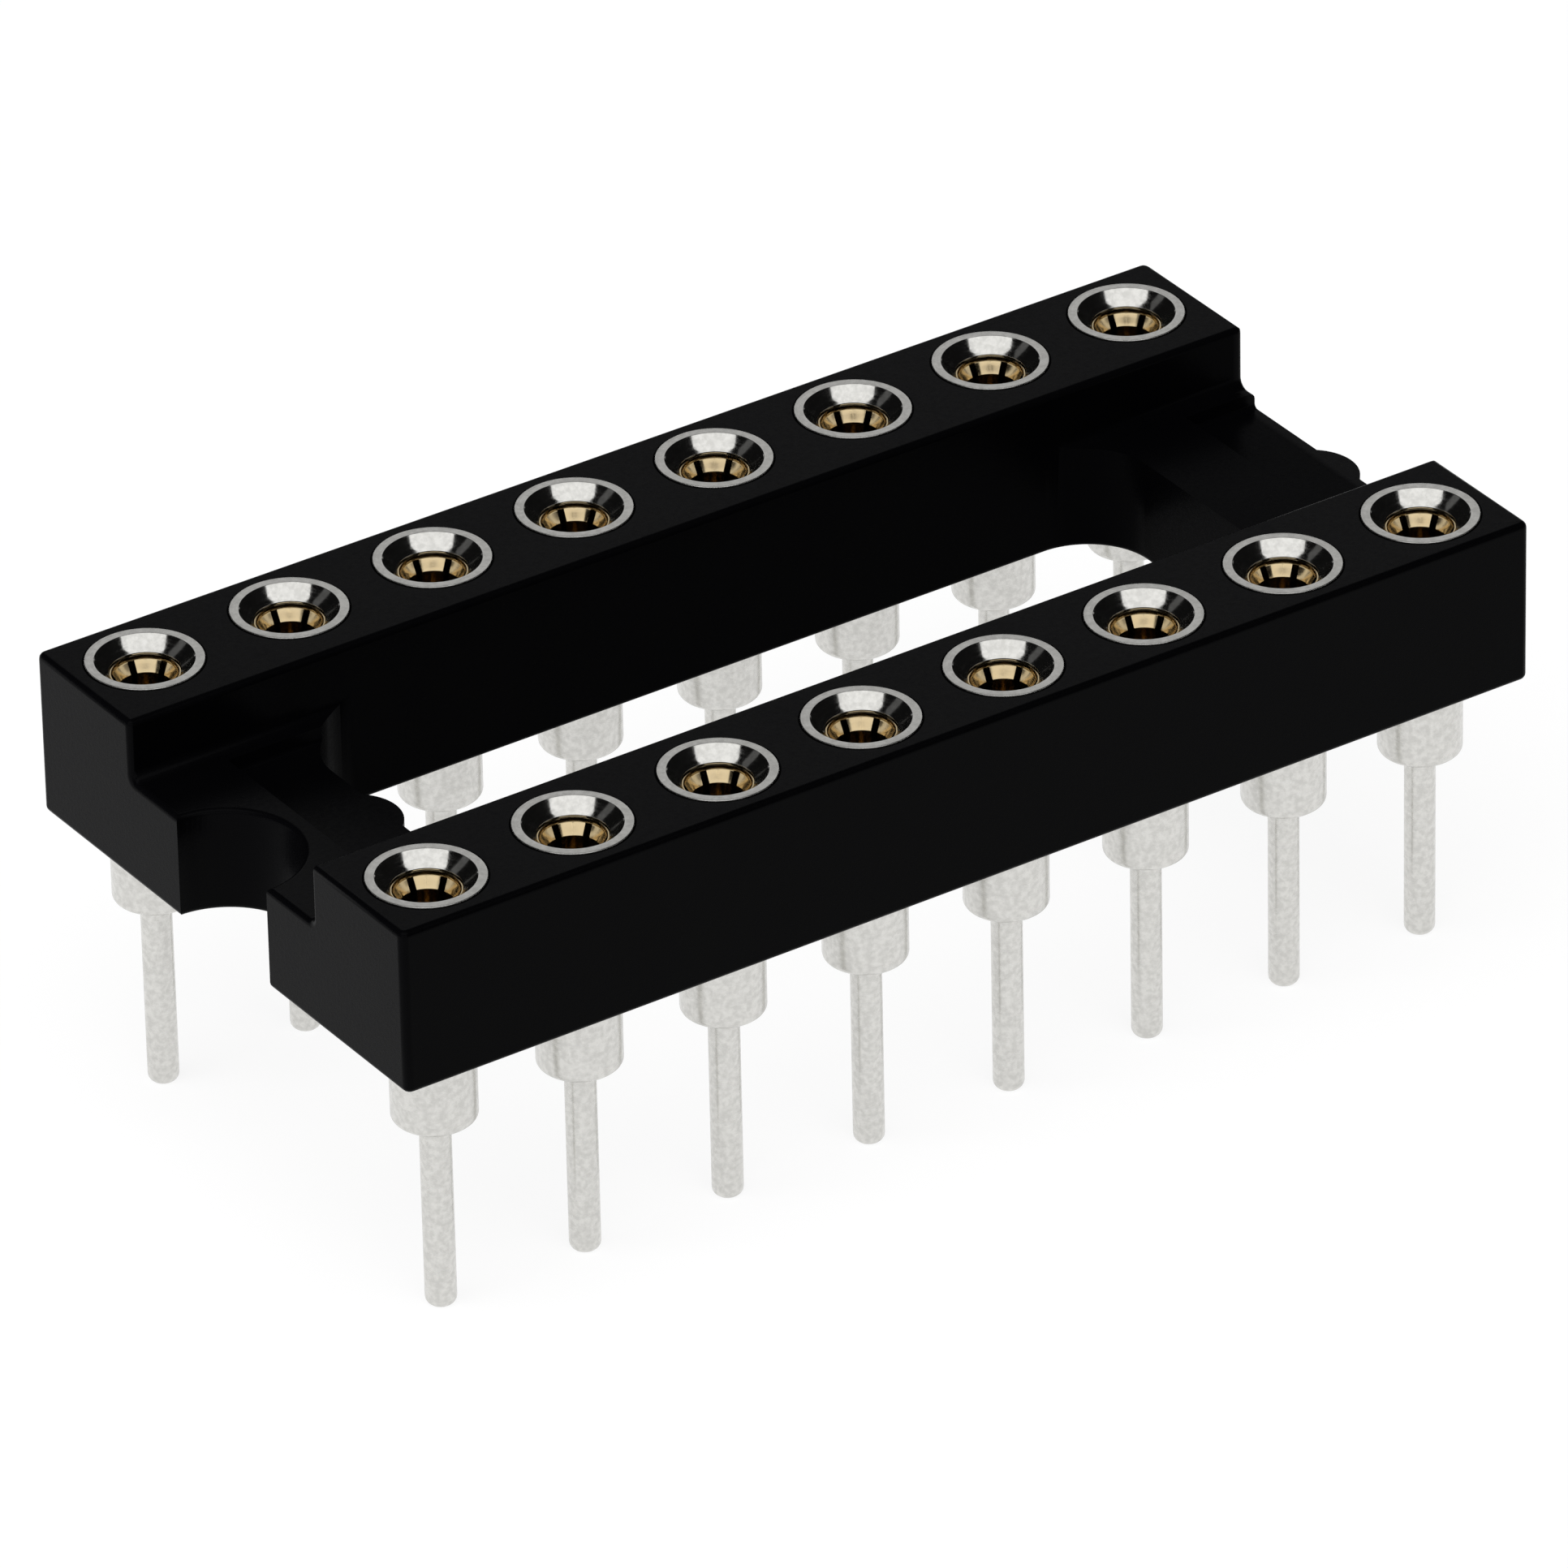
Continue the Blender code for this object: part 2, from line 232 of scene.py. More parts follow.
window = np.concatenate([
    arc(WINDOW_LEFT + WINDOW_ROUND, CORE_Y - CHANNEL_HALF + WINDOW_ROUND, WINDOW_ROUND, 180, 270, 20),
    arc(WINDOW_RIGHT - WINDOW_ROUND, CORE_Y - CHANNEL_HALF + WINDOW_ROUND, WINDOW_ROUND, 270, 360, 20),
    arc(WINDOW_RIGHT - WINDOW_ROUND, CORE_Y + CHANNEL_HALF - WINDOW_ROUND, WINDOW_ROUND, 0, 90, 20),
    arc(WINDOW_LEFT + WINDOW_ROUND, CORE_Y + CHANNEL_HALF - WINDOW_ROUND, WINDOW_ROUND, 90, 180, 20),
    boss(WINDOW_LEFT)[::-1],
])
mouth = EDGE - EDGE * np.sin(quarter)
window_loops = at_heights(
    [inset(window, -EDGE)] + [inset(window, -d) for d in mouth] + [window],
    np.concatenate([
        [UNDERSIDE_Z - OVERRUN], UNDERSIDE_Z + EDGE * (1 - np.cos(quarter)), [LEDGE_Z + FOOT_ROUND],
    ]),
)


def pad_loops(low_x, high_x):
    """A shallow rectangular recess in a crossbar, with a round foot, open at high_x.

    Its lowest loop is inset by the foot's radius, and the next ones open to the walls by a quarter circle.
    """
    rectangle = np.array([
        [low_x, CORE_Y - PAD_HALF], [high_x, CORE_Y - PAD_HALF],
        [high_x, CORE_Y + PAD_HALF], [low_x, CORE_Y + PAD_HALF],
    ])
    return at_heights(
        [inset(rectangle, PAD_ROUND * (1 - math.sin(a))) for a in quarter] + [rectangle],
        np.concatenate([PAD_Z + PAD_ROUND * (1 - np.cos(quarter)), [LEDGE_Z + FOOT_ROUND]]),
    )


notch_pad = pad_loops(WINDOW_LEFT - PAD_LENGTH, WINDOW_LEFT + PAD_OVERRUN)
plain_pad = pad_loops(END_X - PAD_LENGTH, END_X + PAD_OVERRUN)
print("window loops:", window_loops.shape, "pad loops:", notch_pad.shape)

# %% [markdown]
# ## The cores that leave the bores
# Each contact sits in a stepped bore: a narrow part for the barrel and a wide part for the head, with a
# hundredth of a millimetre to spare and a fine lip at the top. A turned core also softens the upper edge
# of the index notch.

# %% Bore cores and the notch's cove
LIP, GAP, COVE = 0.02, 0.01, 0.09
COVE_FOOT = 0.3


def turned(radii, heights, x, y, steps):
    """Circles of the given radii and heights about the upright line through (x, y)."""
    a = 2 * np.pi * np.arange(steps) / steps
    radii = np.asarray(radii, float)[:, None]
    z = np.broadcast_to(np.asarray(heights, float)[:, None], (len(radii), steps))
    return np.stack([x + radii * np.cos(a), y + radii * np.sin(a), z], axis=2)


bore_radii = [
    BARREL_R + GAP, BARREL_R + GAP, HEAD_R + GAP, HEAD_R + GAP, HEAD_R + GAP + LIP, HEAD_R + GAP + LIP,
]
bore_heights = [
    UNDERSIDE_Z - OVERRUN, HEAD_SEAT_Z - GAP, HEAD_SEAT_Z - GAP, TOP_Z - LIP, TOP_Z, TOP_Z + OVERRUN,
]
cove_radii = np.concatenate([[NOTCH_R], NOTCH_R + COVE * (1 - np.cos(quarter)), [NOTCH_R + COVE]])
cove_heights = np.concatenate([
    [LEDGE_Z - COVE - COVE_FOOT], LEDGE_Z - COVE + COVE * np.sin(quarter), [LEDGE_Z + OVERRUN],
])
cores = [
    ("channel", channel_loops),
    ("window", window_loops),
    ("notch_pad", notch_pad),
    ("plain_pad", plain_pad),
    ("notch_cove", turned(cove_radii, cove_heights, -END_X, CORE_Y, 96)),
]
for number, (x, y) in enumerate(contact_xy, 1):
    cores.append((f"bore_{number:02d}", turned(bore_radii, bore_heights, x, y, 64)))
print("cores:", len(cores))

# %% [markdown]
# ## Taking the cores out of the block
# A Boolean difference is what the mould does: plastic fills the block except where a core stands.
# The result is read back as one closed mesh, and the cores are thrown away.
# Smooth shading then rounds the small edge faces, while weighted normals keep the large faces flat.

# %% Carve the block
def carve(piece, solids):
    """piece minus each named loft in solids, as one welded mesh."""
    tools = []
    for label, loops in solids:
        tool = new_piece("core_" + label, loft("core_" + label, loops))
        cut = piece.modifiers.new(label, "BOOLEAN")
        cut.operation = "DIFFERENCE"
        cut.solver = "EXACT"
        cut.object = tool
        tools.append(tool)
    bpy.context.view_layer.update()
    evaluated = piece.evaluated_get(bpy.context.evaluated_depsgraph_get())
    carved = bpy.data.meshes.new_from_object(evaluated)
    piece.modifiers.clear()
    old, piece.data = piece.data, carved
    carved.name = piece.name
    bpy.data.meshes.remove(old)
    for tool in tools:
        mesh = tool.data
        bpy.data.objects.remove(tool, do_unlink=True)
        bpy.data.meshes.remove(mesh)


def smooth_by_area(piece, angle=32):
    """Smooth shading up to angle degrees, with normals held to the larger faces so that flats stay flat."""
    piece.data.shade_smooth()
    piece.data.set_sharp_from_angle(angle=math.radians(angle))
    weighted = piece.modifiers.new("flat_faces_first", "WEIGHTED_NORMAL")
    weighted.keep_sharp = True
    weighted.weight = 90


carve(insulator, cores)
smooth_by_area(insulator)
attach(insulator, "root")
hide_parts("insulator")
print("insulator faces:", len(insulator.data.polygons))

# %% [markdown]
# ## Profiles for turned pieces
# Whatever comes off a lathe is a profile turned about one axis, so it is enough to draw the half section.
# Its corners are listed with the round that each one gets, and long stretches get more points, so that the
# facets stay near to square.

# %% Profile helpers
def fillet(corner, before, after, radius, steps=5):
    """Points of a round of that radius in place of a corner, between the directions to before and after.

    The centre lies on the bisector at r / sin(h), where h is half the corner's angle, and the points swing
    from one point of contact to the other by spherical interpolation.
    """
    corner, before, after = (np.asarray(p, float) for p in (corner, before, after))
    u = (before - corner) / np.linalg.norm(before - corner)
    v = (after - corner) / np.linalg.norm(after - corner)
    half = math.acos(np.clip(u @ v, -1, 1)) / 2
    bisector = (u + v) / np.linalg.norm(u + v)
    centre = corner + bisector * radius / math.sin(half)
    a = corner + u * radius / math.tan(half) - centre
    b = corner + v * radius / math.tan(half) - centre
    t = np.linspace(0, 1, steps + 1)[:, None]
    sweep = math.pi - 2 * half
    return centre + (np.sin((1 - t) * sweep) * a + np.sin(t * sweep) * b) / math.sin(sweep)


def rounded_profile(corners):
    """A profile (r, z) from corners [(r, z, round)], where a round of 0 keeps the corner sharp."""
    parts = []
    for i, (r, z, radius) in enumerate(corners):
        if radius == 0 or i in (0, len(corners) - 1):
            parts.append(np.array([[r, z]]))
        else:
            parts.append(fillet((r, z), corners[i - 1][:2], corners[i + 1][:2], radius))
    return np.concatenate(parts)


def spaced(profile, step):
    """The profile with points added on its long stretches, so that no two are more than step apart."""
    parts = []
    for a, b in zip(profile[:-1], profile[1:]):
        n = max(1, math.ceil(np.linalg.norm(b - a) / step))
        parts.append(a + (b - a) * np.arange(n)[:, None] / n)
    return np.concatenate(parts + [profile[-1:]])


print("a round corner has", len(fillet((1, 0), (0, 0), (1, 1), 0.1)), "points")

# %% [markdown]
# ## The turned sleeves
# A sleeve is cut from a brass rod on a lathe and then plated with tin. The profile runs up the bore, over
# the flared mouth and down the outside to the rounded tip of the tail. The flare is a little steeper near
# the rim, so it guides a lead in, and every corner has the small break that a cutting tool leaves. A real
# edge is never sharp, and the break is what catches the light. The profile starts and ends a hair away
# from the axis, where two tiny faces close the sleeve.

# %% Sleeve profile
MOUTH_R, FUNNEL_DEPTH, BORE_DEPTH, DRILL_POINT = 0.755, 0.205, 2.60, 0.20
FLARE_R, FLARE_DEPTH, FLARE_CURVE = 0.657, 0.110, 1.80
BORE_BREAK, RIM_BREAK, HEAD_BREAK, TAIL_ROOT = 0.008, 0.012, 0.02, 0.03
TAIL_R, TAIL_ROUND, COLLAR_ROUND = 0.24, 0.14, 0.10
AXIS_R = 0.004
SLEEVE_STEP = 0.35

sleeve_profile = spaced(rounded_profile([
    (AXIS_R, RIM_Z - BORE_DEPTH - DRILL_POINT, 0),
    (BORE_R, RIM_Z - BORE_DEPTH, 0),
    (BORE_R, RIM_Z - FUNNEL_DEPTH, BORE_BREAK),
    (FLARE_R, RIM_Z - FLARE_DEPTH, FLARE_CURVE),
    (MOUTH_R, RIM_Z, RIM_BREAK),
    (HEAD_R, RIM_Z, RIM_BREAK),
    (HEAD_R, HEAD_SEAT_Z, HEAD_BREAK),
    (BARREL_R, HEAD_SEAT_Z, HEAD_BREAK),
    (BARREL_R, SHOULDER_Z, COLLAR_ROUND),
    (TAIL_R, SHOULDER_Z, TAIL_ROOT),
    (TAIL_R, 0.0, TAIL_ROUND),
    (AXIS_R, 0.0, 0),
]), SLEEVE_STEP)
profile_length = np.concatenate([[0], np.cumsum(np.linalg.norm(np.diff(sleeve_profile, axis=0), axis=1))])
print("sleeve profile points:", len(sleeve_profile), "length, mm:", round(float(profile_length[-1]), 2))

# %% [markdown]
# ## Sleeves with a map that follows the lathe
# The lathe's rings run round the axis, so the sleeves get a UV map that does so too: one direction goes
# round and the other goes along the profile. All sixteen come from the same profile, each turned about
# its own place. Smooth shading hides the facets, and an edge that turns by more than 40 degrees stays
# crisp.

# %% Sleeve meshes
AROUND = 96
SLEEVE_CREASE = 40


def turned_uv(mesh, loops):
    """A UV map in millimetres: u runs round the axis and v along the profile, as the lathe's marks do.

    u is the angle times one fixed radius, and v is the length along the profile. Both come from the point's
    own place in the loop array, which the loft keeps in order.
    """
    count, size = loops.shape[:2]
    corner = np.empty(len(mesh.loops), dtype=np.int32)
    mesh.loops.foreach_get("vertex_index", corner)
    start = np.empty(len(mesh.polygons), dtype=np.int32)
    total = np.empty(len(mesh.polygons), dtype=np.int32)
    mesh.polygons.foreach_get("loop_start", start)
    mesh.polygons.foreach_get("loop_total", total)
    j, k = corner % size, corner // size
    turn = j / size
    first = np.repeat(start, total)
    seam = np.isin(first, start[total == 4]) & (j[first] == size - 1) & (j == 0)
    turn[seam] = 1.0
    uv = np.stack([turn * 2 * np.pi * HEAD_R, profile_length[k]], axis=1)
    layer = mesh.uv_layers.new(name="turning")
    layer.data.foreach_set("uv", uv.astype(np.float32).ravel())


sleeves = []
for number, (x, y) in enumerate(contact_xy, 1):
    loops = turned(sleeve_profile[:, 0], sleeve_profile[:, 1], x, y, AROUND)[:, ::-1]
    mesh = loft(f"sleeve_turned_{number:02d}", loops)
    turned_uv(mesh, loops)
    sleeve = new_piece(f"sleeve_turned_{number:02d}", mesh)
    mesh.shade_smooth()
    mesh.set_sharp_from_angle(angle=math.radians(SLEEVE_CREASE))
    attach(sleeve, "root")
    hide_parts(f"sleeve_{number:02d}")
    sleeves.append(sleeve)
print("sleeves:", len(sleeves), "faces each:", len(sleeves[0].data.polygons))

# %% [markdown]
# ## The sprung clips
# A clip is punched from thin spring strip, rolled into a cup and plated with gold. Six fingers hang from
# one collar. They lean in steeply at first, which leads the pin to the middle, and then run down until
# they nearly touch, so that they grip it. The clip is a turned shell with six slots left open, so its
# profile comes first.

# %% Clip profile
COLLAR_TOP_Z = RIM_Z - 0.235
COLLAR_HEIGHT, LEAD_IN_DEPTH, THROAT_DEPTH, GRIP_DEPTH = 0.06, 0.24, 0.75, 1.50
COLLAR_R, COLLAR_FOOT_R, LEAD_IN_R, THROAT_R, GRIP_R, TIP_R = 0.511, 0.508, 0.402, 0.375, 0.200, 0.225
SOFT_BEND, SHARP_BEND, LONG_BEND = 0.12, 0.02, 0.40
CLIP_STEP = 0.06

clip_profile = spaced(rounded_profile([
    (COLLAR_R, COLLAR_TOP_Z, 0),
    (COLLAR_FOOT_R, COLLAR_TOP_Z - COLLAR_HEIGHT, SOFT_BEND),
    (LEAD_IN_R, COLLAR_TOP_Z - LEAD_IN_DEPTH, SHARP_BEND),
    (THROAT_R, COLLAR_TOP_Z - THROAT_DEPTH, LONG_BEND),
    (GRIP_R, COLLAR_TOP_Z - GRIP_DEPTH, LONG_BEND),
    (TIP_R, CLIP_TOP_Z - CLIP_LENGTH, 0),
]), CLIP_STEP)
print("clip profile points:", len(clip_profile))

# %% [markdown]
# ## A shell with slots
# The strip has a real thickness, so the shell has an inner and an outer side, and faces close it at the
# slots, at the tips and on top. The slots keep one width all the way down, as a punch leaves them, so the
# fingers get narrower as the cup does.

# %% Points of a clip
FINGERS = 6
SLOT_WIDTH = 0.11
SLOT_START = 0.055
STRIP = 0.055
ACROSS = 10


def clip_points(x, y, turn):
    """Points (side, row, column) of a clip about the upright line through (x, y). Side 0 faces the axis.

    Rows follow clip_profile, columns go round. Inside a finger the columns share the angle that two
    parallel slots leave: its half angle is pi / FINGERS - asin(w / 2r), so the slots keep one width as the
    radius falls. The outer side lies STRIP outside the inner one, along the profile's normal.
    """
    inner, z = clip_profile.T
    along = np.gradient(clip_profile, axis=0)
    along /= np.linalg.norm(along, axis=1, keepdims=True)
    outer = np.minimum(inner - STRIP * along[:, 1], BORE_R - GAP)
    outer_z = z + STRIP * along[:, 0]
    collar = z > COLLAR_TOP_Z - COLLAR_HEIGHT
    outer[collar], outer_z[collar] = BORE_R - GAP, z[collar]
    share = np.linspace(-1, 1, ACROSS + 1)
    finger = np.repeat(np.arange(FINGERS), ACROSS + 1) * 2 * np.pi / FINGERS
    half = np.pi / FINGERS - np.arcsin(SLOT_WIDTH / 2 / inner)
    angle = turn + finger[None] + half[:, None] * np.tile(share, FINGERS)[None]
    radius = np.stack([inner, outer])[:, :, None]
    height = np.broadcast_to(np.stack([z, outer_z])[:, :, None], (2, *angle.shape))
    return np.stack([x + radius * np.cos(angle)[None], y + radius * np.sin(angle)[None], height], axis=3)


print("clip points, as sides, rows and columns:", clip_points(0, 0, 0).shape[:3])

# %% [markdown]
# ## Faces of the shell
# Every clip has the same faces, and only its points differ. A table says where there is strip and where a
# slot is open, and the faces on the rims of the table are the cut edges of the strip. No two clips are
# pressed in at quite the same turn, so each of them is turned by a few degrees of its own.

# %% Clip meshes
def clip_faces(rows, columns):
    """Quads of the shell, as numbers of points in the order (side, row, column).

    A cell of the table lies between two rows and two columns. A cell that is kept gives an inner and an
    outer face, and one more face wherever the cell beside, below or above it is not kept. Each quad runs
    round its cell so that it faces out of the strip.
    """
    here = np.ones((rows - 1, columns), dtype=bool)
    slot_column = np.arange(columns) % (ACROSS + 1) == ACROSS
    here[np.ix_(clip_profile[:-1, 1] < COLLAR_TOP_Z - SLOT_START, slot_column)] = False
    index = np.arange(2 * rows * columns).reshape(2, rows, columns)
    (i0, i1), (r0, r1) = index, np.roll(index, -1, axis=2)
    left_open = here & np.roll(~here, 1, axis=1)
    right_open = here & np.roll(~here, -1, axis=1)
    bottom_open = here & ~np.concatenate([here[1:], np.zeros((1, columns), dtype=bool)])
    top_row = np.zeros_like(here)
    top_row[0] = True

    def quads(a, b, c, d, keep):
        """One quad per kept cell, from the tables that number its four points."""
        return np.stack([a[keep], b[keep], c[keep], d[keep]], axis=1)

    return np.concatenate([
        quads(i0[:-1], r0[:-1], r0[1:], i0[1:], here),
        quads(i1[:-1], i1[1:], r1[1:], r1[:-1], here),
        quads(i0[:-1], i0[1:], i1[1:], i1[:-1], left_open),
        quads(r0[:-1], r1[:-1], r1[1:], r0[1:], right_open),
        quads(i0[1:], r0[1:], r1[1:], i1[1:], bottom_open),
        quads(i0[:-1], i1[:-1], r1[:-1], r0[:-1], top_row),
    ])


def clip_mesh(name, x, y, turn):
    """The shell of one clip, with only the points that its faces use."""
    points = clip_points(x, y, turn)
    used, faces = np.unique(clip_faces(*points.shape[1:3]), return_inverse=True)
    mesh = bpy.data.meshes.new(name)
    mesh.from_pydata((points.reshape(-1, 3)[used] * MM).tolist(), [], faces.reshape(-1, 4).tolist())
    mesh.update()
    return mesh


CLIP_CREASE = 45
FACING_AWAY = math.radians(56.4)
clip_turns = FACING_AWAY + np.radians([0, 3, -4, 2, 0, -3, 5, 1, -2, 4, 0, 3, -5, 2, 0, -3])
clips = []
for number, ((x, y), turn) in enumerate(zip(contact_xy, clip_turns), 1):
    name = f"clip_fingers_{number:02d}"
    clip = new_piece(name, clip_mesh(name, x, y, turn))
    clip.data.shade_smooth()
    clip.data.set_sharp_from_angle(angle=math.radians(CLIP_CREASE))
    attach(clip, "root")
    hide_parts(f"clip_{number:02d}")
    clips.append(clip)
print("clips:", len(clips), "faces each:", len(clips[0].data.polygons))

# %% [markdown]
# ## Colours and nodes
# Colours are written as the hex values that a screen shows and turned to linear light in one place.
# One helper adds any node with its settings and links, so that each material below reads as a short list.
# A pattern's scale is one over the real size of its grain.

# %% Colour and node helpers
def linear(hex_colour):
    """An sRGB hex colour as linear RGBA: c / 12.92 below 0.04045, or else ((c + 0.055) / 1.055)^2.4."""
    c = np.array([int(hex_colour[i:i + 2], 16) for i in (1, 3, 5)]) / 255
    rgb = np.where(c <= 0.04045, c / 12.92, ((c + 0.055) / 1.055) ** 2.4)
    return (*rgb.tolist(), 1.0)


def add(tree, kind, inputs=None, **settings):
    """A node of that kind. Values in inputs are set, and sockets in it are linked."""
    node = tree.nodes.new(kind)
    for key, value in settings.items():
        setattr(node, key, value)
    for key, value in (inputs or {}).items():
        if isinstance(value, bpy.types.NodeSocket):
            tree.links.new(value, node.inputs[key])
        else:
            node.inputs[key].default_value = value
    return node


def new_material(name):
    """An empty node material with its output, and the tree to fill."""
    material = bpy.data.materials.new(name)
    material.use_nodes = True
    tree = material.node_tree
    tree.nodes.clear()
    return material, tree, add(tree, "ShaderNodeOutputMaterial")


print("a middle grey in linear light:", round(linear("#808080")[0], 3))

# %% [markdown]
# ## Glass-filled polyester
# The frame is moulded in black thermoplastic polyester filled with short glass fibre. The faces inside the
# channel are set to reflect less than the outside ones, as painted shade: the channel is a deeper black.
# Three ramps on the piece's own coordinates find what lies outside the channel: past its walls, towards
# the notch, and at the plain end.

# %% Where the outside begins
# These ramps mark where the painted shade inside the channel ends.
NOTCH_SIDE_X = -9.6
moulding, tree, out = new_material("glass_filled_polyester_moulded")
place = add(tree, "ShaderNodeTexCoord")
spot = add(tree, "ShaderNodeSeparateXYZ", {0: place.outputs["Object"]})
across = add(tree, "ShaderNodeMath", {0: spot.outputs["Y"], 1: CORE_Y * MM}, operation="SUBTRACT")
across = add(tree, "ShaderNodeMath", {0: across.outputs[0]}, operation="ABSOLUTE")
past_walls = add(tree, "ShaderNodeMapRange", {
    "Value": across.outputs[0], "From Min": CHANNEL_HALF * MM, "From Max": (CHANNEL_HALF + EDGE) * MM,
})
near_notch = add(tree, "ShaderNodeMapRange", {
    "Value": spot.outputs["X"], "From Min": NOTCH_SIDE_X * MM, "From Max": WINDOW_LEFT * MM,
    "To Min": 1.0, "To Max": 0.0,
})
near_end = add(tree, "ShaderNodeMapRange", {
    "Value": spot.outputs["X"], "From Min": (END_X - 2 * EDGE) * MM, "From Max": (END_X - EDGE) * MM,
})
outside_of_painted_shade = add(tree, "ShaderNodeMath", {
    0: past_walls.outputs["Result"], 1: near_notch.outputs["Result"],
}, operation="MAXIMUM")
outside_of_painted_shade = add(tree, "ShaderNodeMath", {
    0: outside_of_painted_shade.outputs[0], 1: near_end.outputs["Result"],
}, operation="MAXIMUM")
print("nodes that find the outside:", len(tree.nodes))

# %% [markdown]
# ## The moulded skin
# The plastic looks almost black, with a dull skin where the fibres print through. That skin traps most of
# the light, so the level of its reflection is set far below that of a polished plastic. The print of a
# single fibre is too fine to show, so the grain is drawn at 0.07 mm. A faint cloud of 1.1 mm follows the
# flow of the melt.

# %% Black moulding material
FIBRE_PRINT, MELT_CLOUD, SKIN_DEPTH = 0.07, 1.1, 0.006
grain = add(tree, "ShaderNodeTexNoise", {
    "Vector": place.outputs["Object"], "Scale": 1 / (FIBRE_PRINT * MM), "Detail": 3.0, "Roughness": 0.6,
})
cloud = add(tree, "ShaderNodeTexNoise", {
    "Vector": place.outputs["Object"], "Scale": 1 / (MELT_CLOUD * MM), "Detail": 2.0,
})
tone = add(tree, "ShaderNodeMix", {
    0: cloud.outputs["Fac"], 6: linear("#030304"), 7: linear("#050506"),
}, data_type="RGBA")
dull = add(tree, "ShaderNodeMapRange", {
    "Value": grain.outputs["Fac"], "From Min": 0.3, "From Max": 0.7, "To Min": 0.22, "To Max": 0.34,
})
skin = add(tree, "ShaderNodeBump", {
    "Height": grain.outputs["Fac"], "Strength": 0.25, "Distance": SKIN_DEPTH * MM,
})
# Painted shade: the reflection level falls from 0.027 outside to 0.010 inside the channel.
reflection_with_painted_shade = add(tree, "ShaderNodeMapRange", {"Value": outside_of_painted_shade.outputs[0], "To Min": 0.010, "To Max": 0.027})
plastic = add(tree, "ShaderNodeBsdfPrincipled", {
    "Base Color": tone.outputs[2], "Roughness": dull.outputs["Result"], "IOR": 1.54,
    "Specular IOR Level": reflection_with_painted_shade.outputs["Result"], "Normal": skin.outputs["Normal"],
})
tree.links.new(plastic.outputs["BSDF"], out.inputs["Surface"])
insulator.data.materials.clear()
insulator.data.materials.append(moulding)
print("moulding nodes:", len(tree.nodes))

# %% [markdown]
# ## Tin over turned brass
# Electroplated tin is a pale, slightly warm grey. Its crystals are a few thousandths of a millimetre
# wide, too fine to show, so the grain is drawn at 0.09 mm. The lathe leaves fine rings, which follow the
# sleeve's own map, and they spread the highlights a little. The funnel is burnished by the leads that go
# in, so it mirrors the lamps, and the rim and the outside are duller. The change from one to the other
# sits where the rim starts on the profile.

# %% Tin material
STREAK_LENGTH, RINGS_PER_MM, RING_DEPTH = 4.0, 22.0, 0.002
TIN_GRAIN, RIM_CHANGE = 0.09, 0.01
rim_start = float(profile_length[sleeve_profile[:, 1] > RIM_Z - 0.001].min())
tin, tree, out = new_material("tin_plated_turned_brass")
rings = add(tree, "ShaderNodeUVMap", uv_map="turning")
stretched = add(tree, "ShaderNodeMapping", {
    "Vector": rings.outputs["UV"], "Scale": (1 / STREAK_LENGTH, RINGS_PER_MM, 1.0),
})
lathe_marks = add(tree, "ShaderNodeTexNoise", {
    "Vector": stretched.outputs["Vector"], "Scale": 1.0, "Detail": 2.0,
})
place = add(tree, "ShaderNodeTexCoord")
plating = add(tree, "ShaderNodeTexNoise", {
    "Vector": place.outputs["Object"], "Scale": 1 / (TIN_GRAIN * MM), "Detail": 2.0,
})
frosted = add(tree, "ShaderNodeMapRange", {
    "Value": plating.outputs["Fac"], "From Min": 0.35, "From Max": 0.65,
})
shade = add(tree, "ShaderNodeMix", {
    0: frosted.outputs["Result"], 6: linear("#cbcac6"), 7: linear("#dbdad6"),
}, data_type="RGBA")
spread = add(tree, "ShaderNodeMapRange", {
    "Value": lathe_marks.outputs["Fac"], "From Min": 0.3, "From Max": 0.7, "To Min": 0.08, "To Max": 0.15,
})
relief = add(tree, "ShaderNodeBump", {
    "Height": lathe_marks.outputs["Fac"], "Strength": 0.2, "Distance": RING_DEPTH * MM,
})
along_profile = add(tree, "ShaderNodeSeparateXYZ", {0: rings.outputs["UV"]})
unpolished = add(tree, "ShaderNodeMapRange", {
    "Value": along_profile.outputs["Y"],
    "From Min": rim_start - RIM_CHANGE, "From Max": rim_start + RIM_CHANGE,
    "To Min": 0.0, "To Max": 0.14,
})
dull = add(tree, "ShaderNodeMath", {
    0: spread.outputs["Result"], 1: unpolished.outputs["Result"],
}, operation="ADD")
metal = add(tree, "ShaderNodeBsdfPrincipled", {
    "Base Color": shade.outputs[2], "Metallic": 1.0, "Roughness": dull.outputs[0],
    "Normal": relief.outputs["Normal"],
})
tree.links.new(metal.outputs["BSDF"], out.inputs["Surface"])
for sleeve in sleeves:
    sleeve.data.materials.append(tin)
print("the rim starts at", round(rim_start, 3), "mm along the profile")

# %% [markdown]
# ## Gold over spring alloy
# The clips are beryllium copper with a thin gold plate. The rolled strip is smooth, so the gold is bright
# and pale where it mirrors a lamp, and it turns deep orange where one finger mirrors the next. Nothing
# has to be painted for that: each bounce off the gold takes more of the blue away. The plate's own grain
# is far too fine to show, so it is drawn 0.14 mm wide.

